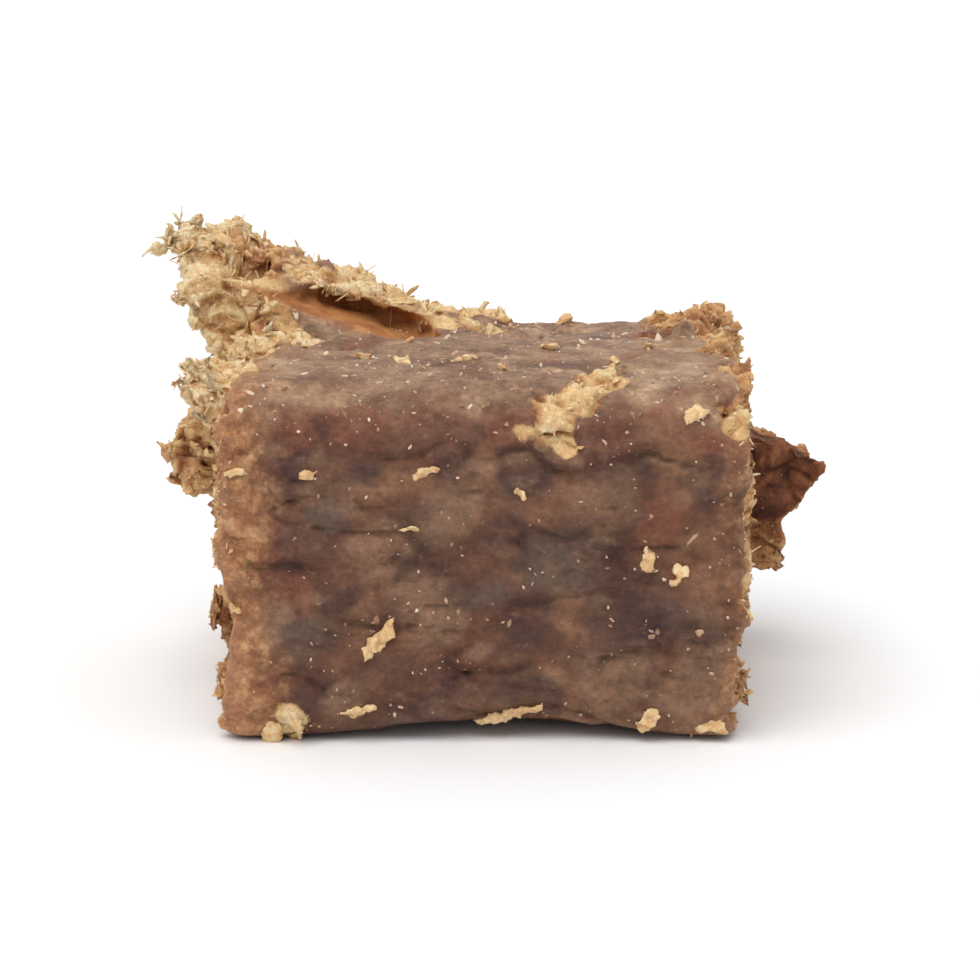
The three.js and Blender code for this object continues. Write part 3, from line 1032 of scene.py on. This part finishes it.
def ranged(value, low, high, start=0.0, end=1.0):
    inputs = {"Value": value, "From Min": low, "From Max": high, "To Min": start, "To Max": end}
    return node(value, "MapRange", inputs, interpolation_type="SMOOTHSTEP").outputs["Result"]


def math_node(operation, a, b):
    return node(a, "Math", {0: a, 1: b}, operation=operation).outputs[0]


def times(a, b):
    return math_node("MULTIPLY", a, b)


def vector_node(operation, a, name, b):
    return node(a, "VectorMath", {0: a, name: b}, operation=operation).outputs[0]


def weighted(start, *terms):
    """A sum of sockets, each times its weight, and a start value."""
    total = start
    for value, weight in terms:
        total = math_node("ADD", times(value, weight), total)
    return total


def colour_ramp(value, stops):
    made = node(value, "ValToRGB", {"Fac": value})
    elements = made.color_ramp.elements
    while len(elements) < len(stops):
        elements.new(0.5)
    for element, (position, colour) in zip(elements, stops):
        element.position = position
        element.color = (*colour, 1)
    return made.outputs["Color"]


def object_place(near, stretch=(1, 1, 1), shift=0.0):
    """Object coordinates in millimetres, stretched along the axes and shifted to another pattern."""
    coordinates = node(near, "TexCoord").outputs["Object"]
    scale = tuple(1 / (MM * s) for s in stretch)
    inputs = {"Vector": coordinates, "Scale": scale, "Location": (shift, 2 * shift, 3 * shift)}
    return node(near, "Mapping", inputs).outputs["Vector"]


def warped(place, size, amount):
    """A place moved about by noise, which gives patterns ragged outlines."""
    stir = node(place, "TexNoise", {"Vector": place, "Scale": 1 / size, "Detail": 3.0}).outputs["Color"]
    centred = vector_node("SUBTRACT", stir, 1, (0.5, 0.5, 0.5))
    return vector_node("ADD", place, 1, vector_node("SCALE", centred, "Scale", amount))


def noise_texture(place, size, detail, roughness):
    inputs = {"Vector": place, "Scale": 1 / size, "Detail": detail, "Roughness": roughness}
    return node(place, "TexNoise", inputs).outputs["Fac"]


def attribute(near, name):
    return node(near, "Attribute", attribute_name=name).outputs["Fac"]


def new_material(name, inputs):
    """A material and its one shader, with these uniform numbers on it."""
    material = bpy.data.materials.new(name)
    material.use_nodes = True
    tree = material.node_tree
    tree.nodes.clear()
    shader = node(tree, "BsdfPrincipled", inputs)
    node(shader, "OutputMaterial", {"Surface": shader.outputs["BSDF"]})
    return material, shader


def meat_inputs(under, reach):
    """What all meat has in common: a share of the light passes under its surface, reach mm far."""
    return {
        "Subsurface Weight": under,
        "Subsurface Radius": (1.0, 0.60, 0.40),
        "Subsurface Scale": reach * MM,
        "Specular IOR Level": 0.30,
    }


def rough_normal(place, depth):
    """The normal of a fine fibrous and pitted surface, about depth mm deep."""
    fibrous = noise_texture(object_place(place, (2.2, 1.0, 0.8)), 0.17, 5.0, 0.65)
    pitted = noise_texture(place, 0.30, 6.0, 0.75)
    relief = weighted(0.0, (fibrous, 0.6), (pitted, 1.4))
    return node(place, "Bump", {"Height": relief, "Strength": 1.0, "Distance": depth * MM}).outputs["Normal"]


def grainy(place, colour, size, darkest, lightest):
    """The colour, darker and lighter by turns in small grains."""
    grain = noise_texture(place, size, 6.0, 0.72)
    shade = ranged(grain, 0.30, 0.70, darkest, lightest)
    return vector_node("SCALE", colour, "Scale", shade)


def pressed_mince(place):
    """The cut faces: soft patches of several kinds of meat, with small lighter and darker bits in them."""
    grain_place = warped(object_place(place, (1.4, 1.2, 1.0)), 1.5, 0.7)
    colour = colour_ramp(noise_texture(grain_place, 1.9, 3.0, 0.55), CUT_STOPS)
    for name, tone in PATCH_COLOURS.items():
        uneven = ranged(noise_texture(grain_place, 0.7, 4.0, 0.6), 0.30, 0.60, 0.30, 0.85)
        colour = mixed(times(attribute(place, name), uneven), colour, tone)

    bit_place = warped(object_place(place, (1.4, 1.0, 1.0)), 0.5, 0.55)
    bits = node(place, "TexVoronoi", {"Vector": bit_place, "Scale": 1.25})
    bit_numbers = node(place, "SeparateColor", {"Color": bits.outputs["Color"]}).outputs
    bit_middle = ranged(bits.outputs["Distance"], 0.55, 0.18)
    for channel, fewest, tone in (("Red", 0.60, TAN_BIT), ("Green", 0.65, DARK_BIT)):
        chosen = ranged(bit_numbers[channel], fewest, 0.90, 0.0, 0.50)
        colour = mixed(times(bit_middle, chosen), colour, tone)

    fine = noise_texture(object_place(place, (1.4, 1.1, 0.9), 2.7), 0.45, 5.0, 0.65)
    colour = mixed(ranged(fine, 0.46, 0.30, 0.0, 0.45), colour, DARK_BIT)
    return mixed(ranged(fine, 0.56, 0.76, 0.0, 0.45), colour, TAN_BIT)


def cut_colour(place, height):
    """The cut and pressed faces: mince, a drier, paler top, orange borders by the torn ends, and painted
    shade in creases and other low places.
    """
    colour = pressed_mince(place)
    x, _, z = node(place, "SeparateXYZ", {"Vector": place}).outputs
    normal = node(place, "NewGeometry").outputs["Normal"]
    facing_up = node(place, "SeparateXYZ", {"Vector": normal}).outputs["Z"]
    ragged = noise_texture(place, 0.8, 5.0, 0.65)
    by_normal = ranged(weighted(facing_up, (ragged, 0.9)), 0.60, 1.20, 0.0, 0.80)
    by_height = ranged(weighted(z, (ragged, 3.2)), 10.3, 12.2, 0.0, 0.70)
    less_red = ranged(attribute(place, "red"), 0.0, 1.0, 1.0, 0.35)
    top_share = times(by_normal, ranged(z, 7.5, 9.0))
    top_share = math_node("MAXIMUM", top_share, by_height)
    top_share = times(top_share, less_red)
    out = math_node("ABSOLUTE", x, 0.0)
    top_noise = noise_texture(warped(place, 0.8, 0.6), 1.0, 6.0, 0.65)
    top_tone = weighted(top_noise, (ranged(out, 3.5, 7.0), 0.07), (ranged(x, 0.5, 6.5), 0.07))
    colour = mixed(top_share, colour, colour_ramp(top_tone, TOP_STOPS))
    border_noise = noise_texture(place, 0.9, 6.0, 0.65)
    side = weighted(out, (border_noise, 3.0), (x, -0.08), (ranged(z, 3.8, 0.8), 0.40))
    rim = colour_ramp(noise_texture(place, 0.45, 6.0, 0.7), RIM_STOPS)
    colour = mixed(ranged(side, 7.3, 9.0, 0.0, 0.85), colour, rim)
    colour = mixed(ranged(height, 0.15, 0.9, 0.0, 0.45), colour, TAN_BIT)
    # Painted shade: low places of the skin are darkened as if shade falls in them.
    colour = mixed(ranged(height, -0.1, -0.9, 0.0, 0.55), colour, PAINTED_HOLLOW_SHADE)
    return grainy(place, colour, 0.18, 0.78, 1.28)


def torn_colour(place, height):
    """Broken meat on the body: each clump has its own tone, paler at dry tips and darker in crevices, where
    painted shade lies over the somewhat darker moist meat.
    """
    uneven = noise_texture(place, 0.45, 6.0, 0.72)
    patches = noise_texture(place, 2.2, 3.0, 0.5)
    tone, place_lift = attribute(place, "tone"), attribute(place, "lift")
    # The height term paints shade into crevices.
    shares = ((uneven, 0.45), (patches, 0.60), (tone, 0.16), (height, 0.26), (place_lift, 1.0))
    colour = colour_ramp(weighted(-0.15, *shares), TORN_STOPS)
    return grainy(place, colour, 0.12, 0.78, 1.20)


def beef_material():
    material, shader = new_material("dried_beef", meat_inputs(under=0.35, reach=0.6))
    place = object_place(shader)
    torn, height, slit = (attribute(place, name) for name in ("torn", "height", "slit"))
    edge = noise_texture(place, 0.30, 5.0, 0.7)
    share = ranged(weighted(torn, (edge, 0.9)), 0.75, 1.10)
    colour = mixed(share, cut_colour(place, height), torn_colour(place, height))
    fibres = noise_texture(object_place(place, (2.5, 1, 1)), 0.5, 4.0, 0.6)
    # The slit's inside, paler than the meat is: painted light, as if coming through the flap.
    colour = mixed(times(slit, 0.95), colour, colour_ramp(fibres, SLIT_STOPS))
    moist = ranged(noise_texture(place, 0.9, 4.0, 0.6), 0.35, 0.65, 0.32, 0.58)
    roughness = node(place, "Mix", {0: share, 2: moist, 3: 0.62}, data_type="FLOAT").outputs[0]
    normal = rough_normal(place, depth=0.10)
    set_inputs(shader, {"Base Color": colour, "Roughness": roughness, "Normal": normal})
    return material


def crumb_material(name, stops, darkest, palest, roughness=0.55, mottle=0.22):
    """Loose broken meat, each piece in the tone that its attribute gives, mottled."""
    inputs = {**meat_inputs(under=0.12, reach=0.2), "Roughness": roughness}
    material, shader = new_material(name, inputs)
    place = object_place(shader)
    uneven = noise_texture(place, 0.25, 5.0, 0.70)
    tone = ranged(attribute(place, "tone"), 0.0, 1.0, darkest, palest)
    lift = math_node("ADD", tone, ranged(uneven, 0.2, 0.8, -mottle, mottle))
    set_inputs(shader, {"Base Color": colour_ramp(lift, stops), "Normal": rough_normal(place, depth=0.06)})
    return material


# Scene

def object_of(mesh, name, material, smooth=True):
    mesh.name = name
    made = new_object(name, mesh)
    mesh.materials.clear()
    mesh.materials.append(material)
    if smooth:
        mesh.shade_smooth()
    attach(made, "root")
    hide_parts(NODE)


def make_floor(reach, grey):
    """A pale matt floor that reaches so many metres each way."""
    corners = [(-reach, -reach, 0), (reach, -reach, 0), (reach, reach, 0), (-reach, reach, 0)]
    floor = new_object("floor", make_mesh("floor", corners, [(0, 1, 2, 3)]))
    inputs = {"Base Color": (grey, grey, grey, 1), "Roughness": 0.7, "Specular IOR Level": 0.2}
    floor.data.materials.append(new_material("pale_floor", inputs)[0])


def make_sun(way, spread, strength):
    """A soft light that is as bright everywhere, shining along way."""
    lamp = bpy.data.lights.new("key", "SUN")
    lamp.angle = spread
    lamp.energy = strength
    new_object("key", lamp).rotation_euler = Vector(way).to_track_quat("-Z", "Y").to_euler()


def make_world(low, high):
    """White light from all round, low at the horizon and high overhead."""
    world = bpy.data.worlds.new("studio")
    world.use_nodes = True
    background = world.node_tree.nodes["Background"]
    sky_way = node(background, "TexCoord").outputs["Generated"]
    up = node(sky_way, "SeparateXYZ", {"Vector": sky_way}).outputs["Z"]
    strength = node(up, "MapRange", {"Value": up, "To Min": low, "To Max": high}).outputs["Result"]
    set_inputs(background, {"Color": (1, 1, 1, 1), "Strength": strength})
    bpy.context.scene.world = world


def make_camera(target, elevation, distance, shown_width):
    """A raised camera in front of the cut face, which sees shown_width mm at its target."""
    data = bpy.data.cameras.new("camera")
    data.sensor_width = 36
    data.lens = data.sensor_width * distance / shown_width
    data.clip_start = 1 * MM
    camera = new_object("camera", data)
    back = Vector((0, -math.cos(elevation), math.sin(elevation)))
    camera.location = (Vector(target) + back * distance) * MM
    camera.rotation_euler = (-back).to_track_quat("-Z", "Y").to_euler()
    bpy.context.scene.camera = camera


make_camera(target=(0.2, -1.0, 6.0), elevation=math.radians(15), distance=155, shown_width=28)
make_floor(reach=0.6, grey=0.90)
make_world(low=0.37, high=1.10)
make_sun(way=(0.25, 0.42, -1.0), spread=math.radians(50), strength=1.45)
bpy.context.scene.view_settings.view_transform = "Standard"

body_skin = body_mesh(base_skin())
outer = body_skin.copy()
set_vertices(outer, vertices_of(outer) / MM)
outer_torn = torn_share(vertices_of(outer))
outer_height = attribute_near(outer, "height")

crumb_look = crumb_material("crumb", TORN_STOPS, 0.26, 0.95)
shred_look = crumb_material("shred", TORN_STOPS, 0.30, 0.90)
flake_look = crumb_material("flake", TORN_STOPS, 0.46, 0.84, mottle=0.28)
speck_look = crumb_material("speck", SPECK_AND_GLINT_STOPS, 0.10, 1.00, roughness=0.40)
object_of(body_skin, "beef_body", beef_material())
object_of(crumb_mesh(outer, outer_torn, outer_height), "crumbs", crumb_look, smooth=False)
object_of(shred_mesh(outer, outer_torn, outer_height), "shreds", shred_look)
object_of(flake_mesh(outer, outer_torn), "flakes", flake_look)
object_of(speck_mesh(outer, outer_torn), "specks", speck_look)
